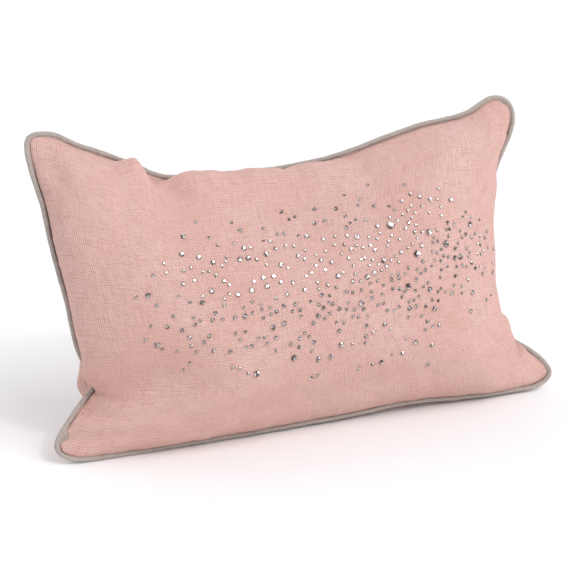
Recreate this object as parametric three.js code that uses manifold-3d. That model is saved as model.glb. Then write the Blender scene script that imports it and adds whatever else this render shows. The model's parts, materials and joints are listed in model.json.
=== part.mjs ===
// Lumbar scatter cushion with contrast piping, a scatter of heat-set crystals on its front and a zip
// across its back. It stands on its lower long edge and leans back. Millimetres, +Z up, front facing -Y.

import * as THREE from 'three';
import { mergeVertices } from 'three/addons/utils/BufferGeometryUtils.js';
import Module from 'manifold-3d';

const wasm = await Module();
wasm.setup();

// Driving sizes of the filled cover
const earSpan = 492;            // across the seam's corners, before they are rounded
const earHeight = 287;          // up the seam's corners, before they are rounded
const sidePull = 31;            // how far each short seam is drawn in at its middle
const topPull = 39;             // how far the upper seam is drawn down at its middle
const earRadius = 16;
const leanDegrees = 18;
const frontCrown = 82;          // reach of the front section's curve handles, which sets its fullness
const baseDepth = 64;           // flat patch that the filled cover rests on, behind the lower seam
const backReach = 104;          // how far back the cover bulges, level with its shoulder
const shoulderHeight = 100;

// Cloth, piping and pad
const clothThickness = 0.9;
const clothGap = 0.3;           // running gap between layers that touch
const pipingRadius = 2.5;
const casingThickness = 0.45;
const casingFlange = 5;         // seam allowance of the piping's casing
const pipingGap = 0.75;          // between the casing and the seam it is sewn into
const padCloth = 0.5;

// Zip
const zipHeight = 150;          // along the back cloth, from the lower seam to the zip's centre
const zipStripHalf = 16;        // half the flat strip of cloth that carries the zip
const slotHalf = 150;
const slotHalfWidth = 4.7;
const clothSeamGap = 0.6;       // between the two back panels past the ends of the zip
const coilHalf = 145;
const coilWidth = 2.2;
const coilThickness = 1.5;
const coilChannel = 1.4;        // left between the closed rows for the slider's post
const tapeHalf = 153;
const tapeWidth = 13;
const tapeThickness = 0.5;
const sliderLength = 10;
const sliderPlate = 1.1;
const sliderWidth = 8;
const postWidth = 0.7;
const stopLength = 3;
const pullLength = 24;
const pullWidth = 6;
const pullThickness = 1;

// Crystals: each is the radius of its flat back, and where it sits on the front cloth, as a share of the
// half width from the centre and of the height from the lower seam
const crystalRise = 0.42;       // height of a crystal over its diameter
const crystals = [
  [3.6, 0.30, 0.66], [3.4, 0.40, 0.56], [3.2, 0.55, 0.57], [3.0, 0.47, 0.62], [2.8, 0.62, 0.52],
  [2.8, 0.70, 0.61], [2.8, 0.34, 0.47], [2.6, 0.46, 0.38], [2.6, 0.24, 0.56], [2.6, 0.15, 0.64],
  [2.4, 0.12, 0.44], [2.4, 0.03, 0.53], [2.4, -0.06, 0.66], [2.4, 0.02, 0.32], [2.2, -0.12, 0.50],
  [2.4, -0.20, 0.58], [2.2, -0.27, 0.40], [2.8, -0.18, 0.30], [2.8, -0.34, 0.26], [2.2, -0.40, 0.50],
  [2.4, -0.33, 0.64], [2.2, -0.48, 0.60], [2.2, -0.55, 0.48], [2.0, -0.52, 0.34], [2.0, -0.64, 0.40],
  [2.2, 0.22, 0.36], [2.2, 0.20, 0.24], [2.2, 0.36, 0.29], [2.2, 0.56, 0.42], [2.2, 0.66, 0.34],
  [2.2, 0.76, 0.44], [2.0, 0.80, 0.55], [2.0, 0.50, 0.72], [2.0, 0.10, 0.74], [2.0, -0.10, 0.22],
  [2.0, 0.42, 0.20],
];

const colours = {
  cloth: 0xe2aca0, piping: 0xb5a79d, cord: 0xeae4da, pad: 0xf2efe8, fill: 0xfafaf8,
  tape: 0xd9a498, coil: 0xd29c90, metal: 0xb9babd, crystal: 0xcfe0ea, label: 0xf6f4ef,
};

// Frame of the seam: its plane leans back about the lower seam, which lies one piping radius up
const lean = THREE.MathUtils.degToRad(leanDegrees);
const pipingClearance = 0.2;     // between the piping and the surface below it
const seamOrigin = new THREE.Vector3(0, 0, pipingRadius + pipingClearance);
const across = new THREE.Vector3(1, 0, 0);
const upward = new THREE.Vector3(0, Math.sin(lean), Math.cos(lean));
const forward = new THREE.Vector3(0, -Math.cos(lean), Math.sin(lean));
const seamSlit = casingThickness + 0.1;              // half the thickness of the casing's allowance
const rimOffset = seamSlit + pipingGap;              // each panel's rim lies this far from the seam plane
const pipingOffset = pipingRadius + pipingGap;       // from the seam to the middle of the piping
const halfSpan = earSpan / 2;
const cornerShare = earRadius * (1 - Math.SQRT1_2);  // where the rounded corner's middle lies

function cornerDrop(distance) {
  const d = earRadius - distance;
  return d > 0 ? earRadius - Math.sqrt(earRadius ** 2 - d ** 2) : 0;
}

// Half width of the cover at a share t of its height
function halfWidth(t) {
  const pull = sidePull * Math.sin(Math.PI * t) ** 0.8;
  const fromCorner = earHeight * Math.min(t, 1 - t) + cornerShare;
  return halfSpan - pull - cornerDrop(fromCorner);
}

// Height of the lower and upper seams at a share s of the half width. The lower corners are lifted by what
// the piping needs beneath them, where it hangs under the seam instead of lying in front of it
function lowerSeam(s) {
  const lift = pipingOffset * (1 - fullness('back', s));
  return lift + cornerDrop(halfSpan * (1 - Math.abs(s)) + cornerShare);
}

function upperSeam(s) {
  const pull = topPull * (1 - Math.abs(s) ** 2.6) ** 1.3;
  return earHeight - pull - cornerDrop(halfSpan * (1 - Math.abs(s)) + cornerShare);
}

function inSeamPlane(x, height) {
  return seamOrigin.clone().addScaledVector(across, x).addScaledVector(upward, height);
}

// The section of each face at full thickness, from the lower seam to the upper one
function frontSection(top) {
  const at = (height, out) => inSeamPlane(0, height).addScaledVector(forward, out);
  return new THREE.CubicBezierCurve3(
    at(0, 0), at(frontCrown * 0.5, frontCrown), at(top - frontCrown * 0.4, frontCrown), at(top, 0));
}

const shoulder = new THREE.Vector3(0, backReach, shoulderHeight);

// The back's section below the shoulder, which is the same all along the zip
function heelSection() {
  const path = new THREE.CurvePath();
  const toe = inSeamPlane(0, 0);
  const floorStart = new THREE.Vector3(0, 3, 0);
  const floorEnd = new THREE.Vector3(0, baseDepth, 0);
  path.add(new THREE.LineCurve3(toe, floorStart));
  path.add(new THREE.LineCurve3(floorStart, floorEnd));
  path.add(new THREE.CubicBezierCurve3(
    floorEnd, new THREE.Vector3(0, (baseDepth + backReach) / 2 + 12, 0),
    new THREE.Vector3(0, backReach, shoulderHeight * 0.45), shoulder));
  return path;
}

function shoulderSection(top) {
  const end = inSeamPlane(0, top);
  return new THREE.CubicBezierCurve3(
    shoulder, new THREE.Vector3(0, backReach, shoulderHeight * 1.5),
    end.clone().addScaledVector(forward, -28).addScaledVector(upward, -24), end);
}

const heelLength = heelSection().getLength();
const backLength = heelLength + shoulderSection(earHeight - topPull).getLength();

function backPoint(top, t) {
  const shoulderShare = heelLength / backLength;
  if (t <= shoulderShare) return heelSection().getPointAt(t / shoulderShare);
  return shoulderSection(top).getPointAt((t - shoulderShare) / (1 - shoulderShare));
}

// How full the cushion is across its width: the front crowns evenly, the back is straight along the zip
const zipShare = zipHeight / backLength;
const straightShare = (tapeHalf + 1) / halfWidth(zipShare);

function fullness(side, s) {
  const a = Math.abs(s);
  if (side === 'front') return (1 - a ** 3.2) ** 0.55;
  const past = Math.max(0, (a - straightShare) / (1 - straightShare));
  return Math.sqrt(1 - past ** 2);
}

// Columns across the width and rows up the height, closer together at the corners and at the zip
const slotShare = slotHalf / halfWidth(zipShare);
const halfColumns = [0.16, 0.36, 0.55, slotShare, straightShare, 0.84, 0.91, 0.96, 1];
const columns = [...halfColumns.map((s) => -s).reverse(), 0, ...halfColumns];
const stripShare = zipStripHalf / backLength;
const rows = [
  0, 0.035, 0.1, 0.2, 0.3, zipShare - stripShare, zipShare + stripShare, 0.62, 0.72, 0.82, 0.9, 0.96, 1,
];
const zipRow = rows.indexOf(zipShare - stripShare);

// Outer surface of one face as rows of points
function faceGrid(side) {
  return rows.map((t) => columns.map((s) => {
    const low = lowerSeam(s);
    const x = s * halfWidth(t);
    const flat = inSeamPlane(x, low + t * (upperSeam(s) - low));
    const full = side === 'front'
      ? frontSection(upperSeam(s)).getPointAt(t) : backPoint(upperSeam(s), t);
    full.x = x;
    return flat.lerp(full, fullness(side, s));
  }));
}

// Seam points in order round the cover, with the way out of the seam and the way to the front panel
function seamLoop() {
  const last = rows.length - 1;
  const end = columns.length - 1;
  const at = (i, j) => {
    const low = lowerSeam(columns[j]);
    const height = low + rows[i] * (upperSeam(columns[j]) - low);
    return inSeamPlane(columns[j] * halfWidth(rows[i]), height);
  };
  const loop = [];
  for (let j = 0; j < end; j++) loop.push({ i: 0, j, point: at(0, j) });
  for (let i = 0; i < last; i++) loop.push({ i, j: end, point: at(i, end) });
  for (let j = end; j > 0; j--) loop.push({ i: last, j, point: at(last, j) });
  for (let i = last; i > 0; i--) loop.push({ i, j: 0, point: at(i, 0) });
  loop.forEach((seam, k) => {
    const next = loop[(k + 1) % loop.length].point;
    const previous = loop[(k + loop.length - 1) % loop.length].point;
    const along = next.clone().sub(previous).normalize();
    const flatOut = along.clone().cross(forward);
    const rise = flatOut.dot(upward);
    // Along the lower seam the piping lies in front of the base instead of under it
    const out = across.clone().multiplyScalar(flatOut.x);
    const settled = rise < 0 ? fullness('back', columns[seam.j]) : 0;
    out.addScaledVector(upward, rise * (1 - settled));
    out.y += rise * settled;
    out.addScaledVector(along, -out.dot(along)).normalize();
    seam.out = out;
    seam.toFront = out.clone().cross(along).normalize();
  });
  return loop;
}

const seams = seamLoop();

// A face whose rim stands off the seam on its own side
function rimmedGrid(side) {
  const grid = faceGrid(side);
  const step = side === 'front' ? rimOffset + clothThickness : -rimOffset - clothThickness;
  seams.forEach(({ i, j, point, toFront }) => grid[i][j].copy(point).addScaledVector(toFront, step));
  return grid;
}

// Triangles of a grid of points, seen counter-clockwise from its outer side
function gridTriangles(rowCount, columnCount, flip) {
  const triangles = [];
  for (let i = 0; i + 1 < rowCount; i++) {
    for (let j = 0; j + 1 < columnCount; j++) {
      const a = i * columnCount + j;
      const [b, c, d] = [a + 1, a + columnCount + 1, a + columnCount];
      const pair = [[a, b, c], [a, c, d]];
      pair.forEach(([p, q, r]) => triangles.push(...(flip ? [p, r, q] : [p, q, r])));
    }
  }
  return triangles;
}

function normalsOf(grid, flip) {
  const width = grid[0].length;
  const points = grid.flat();
  const normals = points.map(() => new THREE.Vector3());
  const triangles = gridTriangles(grid.length, width, flip);
  for (let k = 0; k < triangles.length; k += 3) {
    const [a, b, c] = triangles.slice(k, k + 3);
    const face = points[b].clone().sub(points[a]).cross(points[c].clone().sub(points[a]));
    [a, b, c].forEach((v) => normals[v].add(face));
  }
  return grid.map((row, i) => row.map((_, j) => normals[i * width + j].normalize()));
}

// A grid moved inwards by a depth that may differ from point to point
function inset(grid, flip, depthAt) {
  const normals = normalsOf(grid, flip);
  return grid.map((row, i) => row.map((point, j) =>
    point.clone().addScaledVector(normals[i][j], -depthAt(i, j))));
}

function geometryOf(points, triangles) {
  const geometry = new THREE.BufferGeometry();
  geometry.setAttribute('position', new THREE.Float32BufferAttribute(points.flatMap((p) => p.toArray()), 3));
  geometry.setIndex(triangles);
  geometry.computeVertexNormals();
  return geometry;
}

// Indices round the edge of a grid, in the order that follows its outer side counter-clockwise
function edgeLoop(rowCount, columnCount) {
  const loop = [];
  for (let j = 0; j < columnCount - 1; j++) loop.push(j);
  for (let i = 0; i < rowCount - 1; i++) loop.push(i * columnCount + columnCount - 1);
  for (let j = columnCount - 1; j > 0; j--) loop.push((rowCount - 1) * columnCount + j);
  for (let i = rowCount - 1; i > 0; i--) loop.push(i * columnCount);
  return loop;
}

// A closed body between an outer grid and an inner one of the same size
function bodyBetween(outer, inner, flip) {
  const [rowCount, columnCount] = [outer.length, outer[0].length];
  const count = rowCount * columnCount;
  const triangles = gridTriangles(rowCount, columnCount, flip);
  gridTriangles(rowCount, columnCount, !flip).forEach((v) => triangles.push(v + count));
  const loop = edgeLoop(rowCount, columnCount);
  loop.forEach((a, k) => {
    const b = loop[(k + 1) % loop.length];
    const wall = [[a, a + count, b], [b, a + count, b + count]];
    wall.forEach(([p, q, r]) => triangles.push(...(flip ? [p, r, q] : [p, q, r])));
  });
  return geometryOf([...outer.flat(), ...inner.flat()], triangles);
}


const part = new THREE.Group();

function addMesh(name, geometry, colour, roughness, metalness, parent = part) {
  const material = new THREE.MeshStandardMaterial({ color: colour, roughness, metalness });
  const mesh = new THREE.Mesh(geometry, material);
  mesh.name = name;
  parent.add(mesh);
  return mesh;
}

// Cover panels
const frontGrid = rimmedGrid('front');
const backGrid = rimmedGrid('back');

// The inner side of a face, whose rim turns in beside the piping's allowance
function innerGrid(side) {
  const flip = side === 'back';
  const inner = inset(flip ? backGrid : frontGrid, flip, () => clothThickness);
  const step = flip ? -rimOffset : rimOffset;
  seams.forEach(({ i, j, point, out, toFront }) =>
    inner[i][j].copy(point).addScaledVector(out, -clothThickness).addScaledVector(toFront, step));
  return inner;
}

const frontInner = innerGrid('front');
const backInner = innerGrid('back');
addMesh('front_panel', bodyBetween(frontGrid, frontInner, false), colours.cloth, 0.9, 0);

// The edge of a back panel along the zip, between the two rows of the flat strip
function slotEdge(grid, sign) {
  return columns.map((s, j) => {
    const low = grid[zipRow][j];
    const high = grid[zipRow + 1][j];
    const half = Math.abs(s) <= slotShare + 1e-6 ? slotHalfWidth : clothSeamGap / 2;
    return low.clone().lerp(high, 0.5 + sign * half / low.distanceTo(high));
  });
}

const lowerPart = (grid) => [...grid.slice(0, zipRow + 1), slotEdge(grid, -1)];
const upperPart = (grid) => [slotEdge(grid, 1), ...grid.slice(zipRow + 1)];
addMesh('back_panel_lower', bodyBetween(lowerPart(backGrid), lowerPart(backInner), true),
  colours.cloth, 0.9, 0);
addMesh('back_panel_upper', bodyBetween(upperPart(backGrid), upperPart(backInner), true),
  colours.cloth, 0.9, 0);

// Piping: a bias strip folded round a cotton cord, its allowance tucked between the panels
function sweepRound(section, offset) {
  const count = section.length;
  const points = seams.flatMap(({ point, out, toFront }) => section.map(([a, b]) =>
    point.clone().addScaledVector(out, a + offset).addScaledVector(toFront, b)));
  const triangles = [];
  seams.forEach((_, k) => {
    const here = k * count;
    const there = ((k + 1) % seams.length) * count;
    section.forEach((__, m) => {
      const n = (m + 1) % count;
      triangles.push(here + m, there + m, here + n, here + n, there + m, there + n);
    });
  });
  return geometryOf(points, triangles);
}

function arcPoints(radius, from, to, steps) {
  return Array.from({ length: steps + 1 }, (_, k) => {
    const angle = from + (to - from) * k / steps;
    return [radius * Math.cos(angle), radius * Math.sin(angle)];
  });
}

const slitHalf = 0.12;
const casingInner = pipingRadius - casingThickness;
const cordRadius = casingInner - clothGap - 0.25;
const outerTurn = Math.PI - Math.asin(seamSlit / pipingRadius);
const innerTurn = Math.PI - Math.asin(slitHalf / casingInner);
const flangeEnd = -(pipingOffset + casingFlange);
const casingSection = [
  ...arcPoints(pipingRadius, -outerTurn, outerTurn, 8),
  [flangeEnd, seamSlit], [flangeEnd, slitHalf],
  ...arcPoints(casingInner, innerTurn, -innerTurn, 8),
  [flangeEnd, -slitHalf], [flangeEnd, -seamSlit],
];
const cordSection = arcPoints(cordRadius, 0, 2 * Math.PI, 8).slice(0, 8);
addMesh('piping_casing', sweepRound(casingSection, pipingOffset), colours.piping, 0.85, 0);
addMesh('piping_cord', sweepRound(cordSection, pipingOffset), colours.cord, 0.95, 0);

// Pad: two panels of white cotton round a block of fibre, clear of the zip behind it. Its own seam lies
// one row and one column inside the cover's, half way between the two faces
const padDepth = clothThickness + clothGap;
const zipDepth = padDepth + tapeThickness + clothGap + sliderPlate + clothGap;
const lastRow = rows.length - 2;
const lastColumn = columns.length - 2;

function insideRows(grid) {
  return grid.slice(1, lastRow + 1).map((row) => row.slice(1, lastColumn + 1));
}

function middleOf(i, j) {
  return frontGrid[i][j].clone().lerp(backGrid[i][j], 0.5);
}

function padGrid(side, extraDepth, rimGap, rimShare) {
  const flip = side === 'back';
  const grid = inset(flip ? backGrid : frontGrid, flip, (i) =>
    (flip && (i === zipRow || i === zipRow + 1) ? zipDepth : padDepth) + extraDepth);
  return insideRows(grid.map((row, i) => row.map((point, j) => {
    const onRim = i <= 1 || i >= lastRow || j <= 1 || j >= lastColumn;
    if (!onRim) return point;
    const towards = middleOf(THREE.MathUtils.clamp(i, 2, lastRow - 1),
      THREE.MathUtils.clamp(j, 2, lastColumn - 1));
    const side01 = frontGrid[i][j].clone().sub(backGrid[i][j]).normalize();
    return middleOf(i, j).lerp(towards, rimShare).addScaledVector(side01, flip ? -rimGap : rimGap);
  })));
}

function padPanel(side) {
  return bodyBetween(padGrid(side, 0, clothGap / 2 + padCloth, 0),
    padGrid(side, padCloth, clothGap / 2, 0.1), side === 'back');
}

addMesh('insert_case_front', padPanel('front'), colours.pad, 0.9, 0);
addMesh('insert_case_back', padPanel('back'), colours.pad, 0.9, 0);

function fillGeometry() {
  const front = padGrid('front', padCloth + clothGap, 0, 0.35);
  const back = padGrid('back', padCloth + clothGap, 0, 0.35);
  const [rowCount, columnCount] = [front.length, front[0].length];
  const count = rowCount * columnCount;
  const triangles = gridTriangles(rowCount, columnCount, false);
  gridTriangles(rowCount, columnCount, true).forEach((v) => triangles.push(v + count));
  const geometry = geometryOf([...front.flat(), ...back.flat()], triangles);
  geometry.deleteAttribute('normal');
  const closed = mergeVertices(geometry, 1e-3);
  closed.computeVertexNormals();
  return closed;
}

addMesh('fibre_fill', fillGeometry(), colours.fill, 1, 0);

// Zip: its frame has x along the teeth, y up the cloth and z out of it, on the flat strip's outer face
const zip = new THREE.Group();
const middle = columns.indexOf(0);
const stripLow = backGrid[zipRow][middle];
const stripHigh = backGrid[zipRow + 1][middle];
const zipX = across.clone().negate();
const zipY = stripHigh.clone().sub(stripLow).normalize();
const zipZ = zipX.clone().cross(zipY);
zip.quaternion.setFromRotationMatrix(new THREE.Matrix4().makeBasis(zipX, zipY, zipZ));
zip.position.copy(stripLow).add(stripHigh).multiplyScalar(0.5);
part.add(zip);

function box(x0, x1, y0, y1, z0, z1) {
  const geometry = new THREE.BoxGeometry(x1 - x0, y1 - y0, z1 - z0);
  return geometry.translate((x0 + x1) / 2, (y0 + y1) / 2, (z0 + z1) / 2);
}

function solid(geometry) {
  const bare = geometry.clone();
  bare.deleteAttribute('normal');
  bare.deleteAttribute('uv');
  const merged = mergeVertices(bare, 1e-4);
  return new wasm.Manifold(new wasm.Mesh({
    numProp: 3,
    vertProperties: merged.attributes.position.array,
    triVerts: new Uint32Array(merged.index.array),
  }));
}

function fromSolid(made) {
  const mesh = made.getMesh();
  const geometry = new THREE.BufferGeometry();
  geometry.setAttribute('position', new THREE.BufferAttribute(mesh.vertProperties, 3));
  geometry.setIndex(new THREE.BufferAttribute(mesh.triVerts, 1));
  geometry.computeVertexNormals();
  return geometry;
}

const tapeTop = -(clothThickness + clothGap);
const tapeBottom = tapeTop - tapeThickness;
const coilBottom = tapeTop + clothGap;
const coilTop = coilBottom + coilThickness;
const coilInner = coilChannel / 2;
const coilOuter = coilInner + coilWidth;

function mirroredBox(sign, x0, x1, y0, y1, z0, z1) {
  return sign > 0 ? box(x0, x1, y0, y1, z0, z1) : box(x0, x1, -y1, -y0, z0, z1);
}

for (const [name, sign] of [['upper', 1], ['lower', -1]]) {
  addMesh('zip_tape_' + name,
    mirroredBox(sign, -tapeHalf, tapeHalf, coilInner, coilInner + tapeWidth, tapeBottom, tapeTop),
    colours.tape, 0.9, 0, zip);
  addMesh('zip_coil_' + name,
    mirroredBox(sign, -coilHalf, coilHalf, coilInner, coilOuter, coilBottom, coilTop),
    colours.coil, 0.5, 0, zip);
  addMesh('top_stop_' + name,
    mirroredBox(sign, -coilHalf - clothGap - stopLength, -coilHalf - clothGap, coilInner, coilOuter,
      coilBottom, coilTop),
    colours.metal, 0.35, 1, zip);
}
addMesh('bottom_stop',
  box(coilHalf + clothGap, coilHalf + clothGap + stopLength, -coilOuter, coilOuter, coilBottom, coilTop),
  colours.metal, 0.35, 1, zip);

// Slider: two plates joined by a post, with a bridge on top that holds the pull
const sliderX = -(coilHalf - sliderLength / 2 - clothGap);
const plateLow = coilTop + clothGap;
const plateTop = plateLow + sliderPlate;
const underTop = tapeBottom - clothGap;
const bridgeOpening = 1.8;
const bridgeRoof = 0.8;
const bridgeLeg = 1.5;
const bridgeHalf = 3.5;
const bridgeWidth = 2.4;
const pivotHeight = plateTop + bridgeOpening / 2;

function sliderBody() {
  const half = sliderLength / 2;
  const wide = sliderWidth / 2;
  const sink = 0.3;
  const bridgeTop = plateTop + bridgeOpening + bridgeRoof;
  const pieces = [
    box(-half, half, -wide, wide, plateLow, plateTop),
    box(-half, half, -wide, wide, underTop - sliderPlate, underTop),
    box(-half + 1, half - 4, -postWidth / 2, postWidth / 2, underTop - sink, plateLow + sink),
    box(-bridgeHalf, -bridgeHalf + bridgeLeg, -bridgeWidth / 2, bridgeWidth / 2, plateTop - sink, bridgeTop),
    box(bridgeHalf - bridgeLeg, bridgeHalf, -bridgeWidth / 2, bridgeWidth / 2, plateTop - sink, bridgeTop),
    box(-bridgeHalf, bridgeHalf, -bridgeWidth / 2, bridgeWidth / 2, bridgeTop - bridgeRoof, bridgeTop),
  ];
  return fromSolid(pieces.map(solid).reduce((whole, piece) => whole.add(piece)));
}

const slider = new THREE.Group();
slider.position.x = sliderX;
zip.add(slider);
addMesh('zip_slider', sliderBody(), colours.metal, 0.35, 1, slider);

// Pull: a flat tab with a window at its near end, whose end bar passes under the bridge
function pullTab() {
  const bar = 1.1;
  const window = { length: 3.4, width: bridgeWidth + 1 };
  const outline = new THREE.Shape();
  const half = pullWidth / 2;
  const straight = pullLength - half;
  outline.moveTo(-bar / 2, -half);
  outline.lineTo(straight, -half);
  outline.absarc(straight, 0, half, -Math.PI / 2, Math.PI / 2, false);
  outline.lineTo(-bar / 2, half);
  const hole = new THREE.Path();
  hole.moveTo(bar / 2, -window.width / 2);
  hole.lineTo(bar / 2, window.width / 2);
  hole.lineTo(bar / 2 + window.length, window.width / 2);
  hole.lineTo(bar / 2 + window.length, -window.width / 2);
  outline.holes.push(hole);
  const tab = new THREE.ExtrudeGeometry(outline,
    { depth: pullThickness, bevelEnabled: false, curveSegments: 8 });
  return tab.translate(0, 0, pivotHeight - pullThickness / 2);
}

addMesh('zip_pull', pullTab(), colours.metal, 0.35, 1, slider);

// Care label: a blank folded strip sewn to the lower tape, inside the cover
const labelTop = tapeBottom - clothGap;
addMesh('care_label', box(40, 72, -15, -5.5, labelTop - 0.6, labelTop), colours.label, 0.8, 0, zip);

// Crystals: flat-backed faceted domes seated on the front cloth
function onFront(across01, height01) {
  const column = columns.findIndex((_, j) => across01 <= columns[j + 1]);
  const row = rows.findIndex((_, i) => height01 <= rows[i + 1]);
  const a = (across01 - columns[column]) / (columns[column + 1] - columns[column]);
  const b = (height01 - rows[row]) / (rows[row + 1] - rows[row]);
  const [low, high] = [frontGrid[row], frontGrid[row + 1]];
  const corners = [low[column], low[column + 1], high[column + 1], high[column]];
  // Each entry: the facet's three corners with their shares of the point
  const facet = a > b ? [[0, 1 - a], [1, a - b], [2, b]] : [[0, 1 - b], [2, a], [3, b - a]];
  const point = new THREE.Vector3();
  facet.forEach(([k, share]) => point.addScaledVector(corners[k], share));
  const [p, q, r] = facet.map(([k]) => corners[k]);
  return { point, normal: q.clone().sub(p).cross(r.clone().sub(p)).normalize() };
}

function crystalGeometry(radius) {
  const height = 2 * radius * crystalRise;
  const profile = [[0, 0], [radius, 0], [radius * 0.5, height], [0, height]];
  const dome = new THREE.LatheGeometry(profile.map(([x, y]) => new THREE.Vector2(x, y)), 8);
  return dome.rotateX(Math.PI / 2);
}

crystals.forEach(([radius, across01, height01], k) => {
  const { point, normal } = onFront(across01, height01);
  const name = 'crystal_' + String(k + 1).padStart(2, '0');
  const crystal = addMesh(name, crystalGeometry(radius), colours.crystal, 0.05, 0);
  crystal.quaternion.setFromUnitVectors(new THREE.Vector3(0, 0, 1), normal);
  crystal.position.copy(point).addScaledVector(normal, clothGap);
});

// The origin is the middle of the footprint's box, on the surface that the cushion stands on
part.updateMatrixWorld(true);
const bounds = new THREE.Box3().setFromObject(part, true);
const centre = bounds.getCenter(new THREE.Vector3());
part.position.set(-centre.x, -centre.y, -bounds.min.z);

export default part;
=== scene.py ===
"""Looks of a lumbar scatter cushion: blush slub cloth, grey piping, a scatter of crystals and a back zip."""
import json
import math

import bmesh
import bpy
import numpy as np
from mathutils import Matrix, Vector


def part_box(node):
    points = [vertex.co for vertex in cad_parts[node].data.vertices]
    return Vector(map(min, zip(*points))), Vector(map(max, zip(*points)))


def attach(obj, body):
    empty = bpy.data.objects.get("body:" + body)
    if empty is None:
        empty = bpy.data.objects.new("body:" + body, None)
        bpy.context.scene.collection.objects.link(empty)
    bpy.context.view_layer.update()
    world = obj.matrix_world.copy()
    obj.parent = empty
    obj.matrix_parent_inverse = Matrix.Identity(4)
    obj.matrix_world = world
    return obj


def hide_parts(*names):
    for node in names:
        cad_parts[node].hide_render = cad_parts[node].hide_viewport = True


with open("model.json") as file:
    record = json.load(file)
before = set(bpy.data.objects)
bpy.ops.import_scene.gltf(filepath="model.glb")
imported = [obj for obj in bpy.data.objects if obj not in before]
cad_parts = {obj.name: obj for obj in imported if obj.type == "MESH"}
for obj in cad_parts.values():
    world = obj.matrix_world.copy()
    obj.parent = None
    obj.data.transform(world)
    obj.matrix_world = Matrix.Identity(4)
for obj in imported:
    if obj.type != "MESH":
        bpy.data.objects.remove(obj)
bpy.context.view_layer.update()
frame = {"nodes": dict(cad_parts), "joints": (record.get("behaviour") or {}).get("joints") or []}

MM = 0.001                  # scene units in a millimetre
rng = np.random.default_rng(41)

# ---------------------------------------------------------------- sizes, in millimetres
FLAT_WIDTH = 500.0          # each cover panel before it is filled
FLAT_HEIGHT = 300.0
BACK_ZIP_HEIGHT = 147.0     # up the back cloth from the lower seam to the zip
BACK_HEIGHT = 316.0         # the back cloth is cut a little longer, for the zip's hems
EAR_RADIUS = 16.0           # the rounded corners of the cut cloth
LEAN = math.radians(18)     # how far the cushion leans back
CLOTH = 0.9
SEAM_SLIT = 0.5             # from the seam line to each panel's outer face
SEAM_BEHIND_CORD = 4.75     # from the front of the filler cord to the lower seam
SEAM_HEIGHT = 2.7
REST_GAP = 0.15             # between the table and the lowest cloth
PIPING_RADIUS = 2.2
PIPING_OFFSET = 2.6         # from the seam line to the middle of the piping
PIPING_FLANGE = 5.0         # the strip's sewn-in allowance
FLANGE_HALF = 0.3
FILLER_RADIUS = 1.5
ZIP_HALF = 150.0            # half the opening in the back
ZIP_PROUD = 0.15            # from the middle of the coils to the outer face of the cloth
SLOT_HALF_WIDTH = 4.7
STRIP_HALF = 16.4           # half the flat strip of back cloth that the zip's tapes are sewn to
STRIP_ROWS = 4
STRIP_PAST_ZIP = 8.0        # how far the strip stays flat past each end of the opening
CLOTH_SEAM_GAP = 0.6        # between the two back cloths where they are sewn beside the zip
SEAM_DENT = 0.9             # how far the back cloths sink into that seam
FACE_CROWN = 68.0           # how far the rough face stands out of the seam plane
BACK_BOW = 8.0              # how far the rough back bows out above the zip
BASE_DEPTH = 45.0           # from the lower seam back to the edge of the base
FACE_SLACK = 0.022          # how much longer each cloth is than its rough face
BACK_SLACK = 0.015
PAD_CLEAR = 9.0             # how far the pad stays behind the outer face of the cover
CAD_STONES = 36
STONE_COUNT = 400
STONE_TRIES = 9000
COIL_PITCH = 1.3
STITCH_PITCH = 3.0
COLUMNS, ROWS, ZIP_ROW = 120, 72, 31    # cells of cloth across and up a panel, and the row of the zip

ACROSS = np.array([1.0, 0.0, 0.0])
UPWARD = np.array([0.0, math.sin(LEAN), math.cos(LEAN)])
FORWARD = np.array([0.0, -math.cos(LEAN), math.sin(LEAN)])


def box_middle(*nodes):
    """The middle of the box round some CAD nodes, in millimetres."""
    corners = np.array([[tuple(corner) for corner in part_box(node)] for node in nodes])
    return (corners[:, 0].min(axis=0) + corners[:, 1].max(axis=0)) / 2 / MM


# The lower seam's middle lies behind the filler cord, which rests in front of the base
cord_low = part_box("piping_cord")[0]
foot = np.array([0.0, cord_low.y / MM + SEAM_BEHIND_CORD, SEAM_HEIGHT])

# The zip's own frame: its middle on the outer face of the cloth, along it, up the cloth and out of it
pull_hinge = next(joint for joint in frame["joints"] if joint["name"] == "pull_swing")
zip_up = -np.array(pull_hinge["axis"])
zip_along = -ACROSS
zip_out = np.cross(zip_along, zip_up)
zip_origin = box_middle("zip_coil_upper", "zip_coil_lower") + ZIP_PROUD * zip_out


# ---------------------------------------------------------------- camera
def aim_camera(azimuth, elevation, distance, focal, target):
    """The scene's camera, looking at a target from an azimuth and elevation in degrees."""
    data = bpy.data.cameras.new("camera")
    data.lens = focal
    data.sensor_width = 36
    camera = bpy.data.objects.new("camera", data)
    bpy.context.scene.collection.objects.link(camera)
    a, e = math.radians(azimuth), math.radians(elevation)
    away = Vector((math.sin(a) * math.cos(e), -math.cos(a) * math.cos(e), math.sin(e)))
    camera.location = (Vector(target) + away * distance) * MM
    camera.rotation_euler = (-away).to_track_quat("-Z", "Y").to_euler()
    bpy.context.scene.camera = camera


aim_camera(azimuth=-21.2, elevation=18.2, distance=1287, focal=87.5, target=(-17.8, 0, 123.4))


# ---------------------------------------------------------------- helpers for meshes and nodes
def new_object(name, mesh):
    obj = bpy.data.objects.new(name, mesh)
    bpy.context.scene.collection.objects.link(obj)
    return obj


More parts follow.
